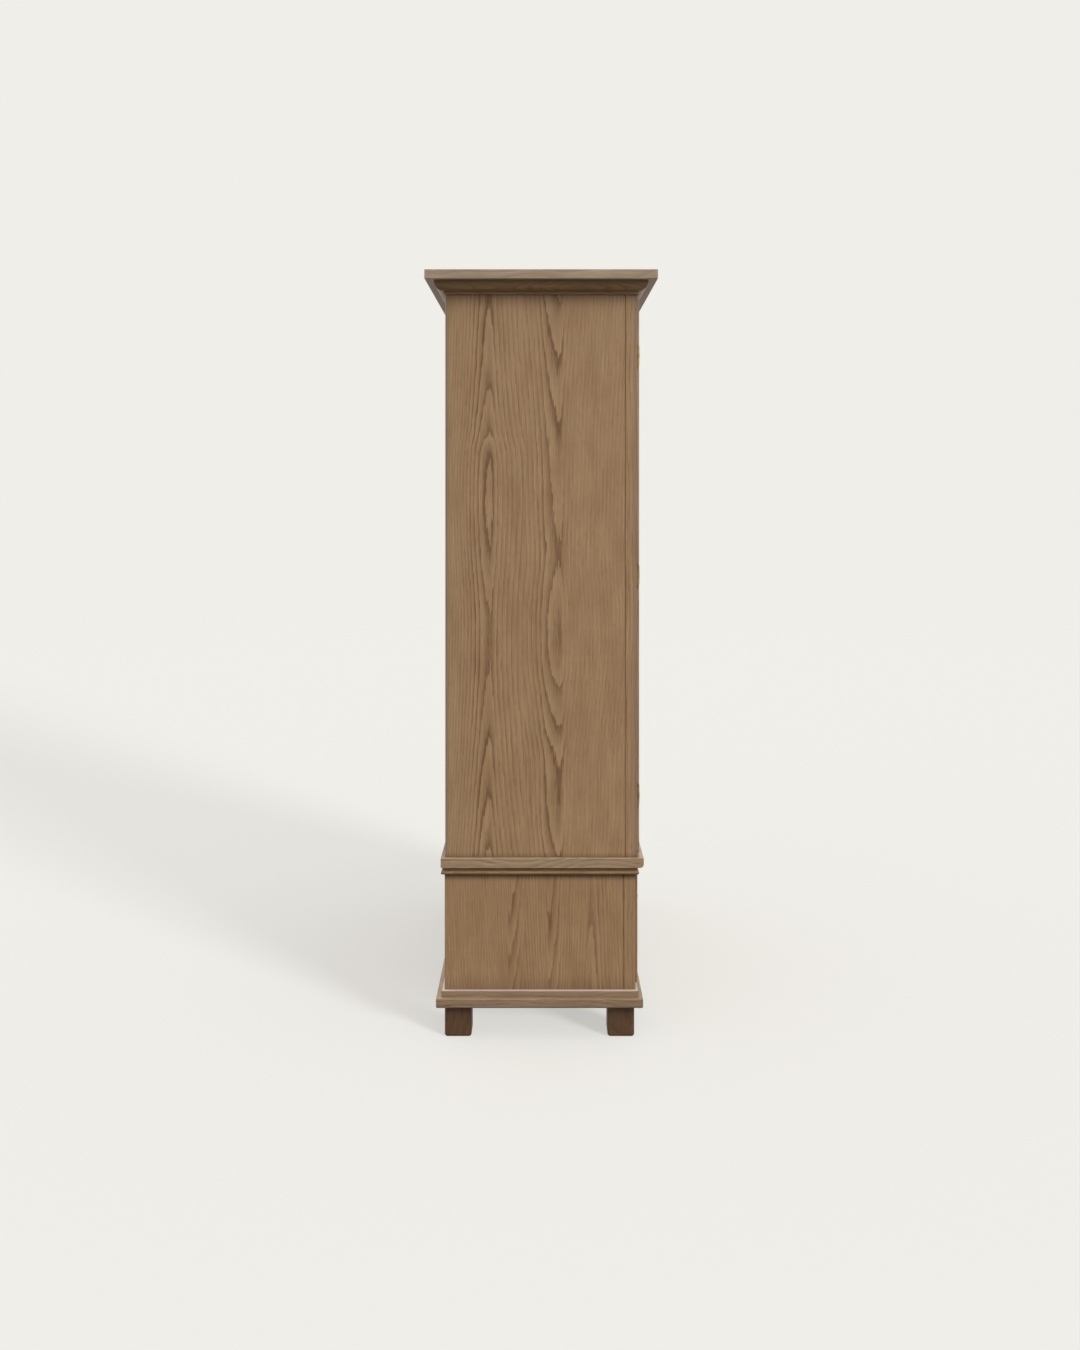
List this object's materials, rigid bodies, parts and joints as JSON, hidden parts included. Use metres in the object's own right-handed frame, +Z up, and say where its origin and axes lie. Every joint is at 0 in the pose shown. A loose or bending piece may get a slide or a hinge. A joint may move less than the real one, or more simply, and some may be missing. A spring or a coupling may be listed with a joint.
{
  "type": "linen press",
  "caption": "Two-part brown oak linen press: tall cupboard with a pair of lipped panel doors over a low chest with deep drawers, on block feet under a moulded cap.",
  "frame": {"origin": "on the floor under the middle of the press", "axes": "+X to the right as seen from the front, -Y out of the doors, +Z up"},
  "size_m": [1.2, 0.6, 1.992],
  "materials": {
    "brown_oak": "matt oiled oak, brown, open grain",
    "oak_cap": "matt oiled oak, a little greyer",
    "oak_feet": "matt oiled oak, end grain down",
    "oak_inside": "plain planed oak inside",
    "oak_back": "matt oak boards",
    "pale_poplar": "planed poplar drawer linings",
    "aged_brass": "aged brass, brown patina, worn on edges",
    "steel_plate": "zinc-plated steel",
    "catch_plastic": "brown moulded plastic"
  },
  "bodies": {
    "root": {"base_board": "brown_oak", "base_edging": "brown_oak", "base_moulding": "brown_oak", "belt_bead": "brown_oak", "belt_board": "brown_oak", "belt_edging": "brown_oak", "cap_board": "oak_cap", "cap_edging": "oak_cap", "cornice_moulding": "brown_oak", "door_catches": "catch_plastic", "drawer_runners": "oak_inside", "feet": "oak_feet", "hinge_frame_leaves": "aged_brass", "hinge_pins": "aged_brass", "lower_back_panel": "oak_back", "lower_deck": "oak_inside", "lower_muntin": "brown_oak", "lower_partition": "oak_inside", "lower_rail_bottom": "brown_oak", "lower_rail_top": "brown_oak", "lower_side_left": "brown_oak", "lower_side_right": "brown_oak", "lower_stile_left": "brown_oak", "lower_stile_right": "brown_oak", "shelf_pins": "steel_plate", "shelves": "oak_inside", "upper_back_panel": "oak_back", "upper_decks": "oak_inside", "upper_rail_bottom": "brown_oak", "upper_rail_top": "brown_oak", "upper_side_left": "brown_oak", "upper_side_right": "brown_oak", "upper_stile_left": "brown_oak", "upper_stile_right": "brown_oak"},
    "door_left": {"door_left_hinge_leaves": "aged_brass", "door_left_hinge_stile": "brown_oak", "door_left_knob": "aged_brass", "door_left_meeting_stile": "brown_oak", "door_left_panels": "brown_oak", "door_left_rails": "brown_oak", "door_left_strike": "steel_plate"},
    "door_right": {"door_right_hinge_leaves": "aged_brass", "door_right_hinge_stile": "brown_oak", "door_right_knob": "aged_brass", "door_right_meeting_stile": "brown_oak", "door_right_panels": "brown_oak", "door_right_rails": "brown_oak", "door_right_strike": "steel_plate"},
    "drawer_left": {"drawer_left_back": "pale_poplar", "drawer_left_bottom": "pale_poplar", "drawer_left_front": "brown_oak", "drawer_left_handle_posts": "aged_brass", "drawer_left_sides": "pale_poplar"},
    "drawer_right": {"drawer_right_back": "pale_poplar", "drawer_right_bottom": "pale_poplar", "drawer_right_front": "brown_oak", "drawer_right_handle_posts": "aged_brass", "drawer_right_sides": "pale_poplar"},
    "bail_left": {"drawer_left_bail": "aged_brass"},
    "bail_right": {"drawer_right_bail": "aged_brass"}
  },
  "joints": [
    {"name": "door_left_hinge", "type": "hinge", "parent": "root", "child": "door_left", "pos_m": [-0.5148, -0.2544, 1.201], "axis": [0, 0, -1], "range_deg": [0, 110]},
    {"name": "door_right_hinge", "type": "hinge", "parent": "root", "child": "door_right", "pos_m": [0.5148, -0.2544, 1.201], "axis": [0, 0, 1], "range_deg": [0, 110]},
    {"name": "drawer_left_slide", "type": "slide", "parent": "root", "child": "drawer_left", "axis": [0, -1, 0], "range_m": [0, 0.36]},
    {"name": "drawer_right_slide", "type": "slide", "parent": "root", "child": "drawer_right", "axis": [0, -1, 0], "range_m": [0, 0.36]},
    {"name": "bail_left_swing", "type": "hinge", "parent": "drawer_left", "child": "bail_left", "pos_m": [-0.2625, -0.2632, 0.2905], "axis": [-1, 0, 0], "range_deg": [0, 85]},
    {"name": "bail_right_swing", "type": "hinge", "parent": "drawer_right", "child": "bail_right", "pos_m": [0.2625, -0.2632, 0.2905], "axis": [-1, 0, 0], "range_deg": [0, 85]}
  ]
}
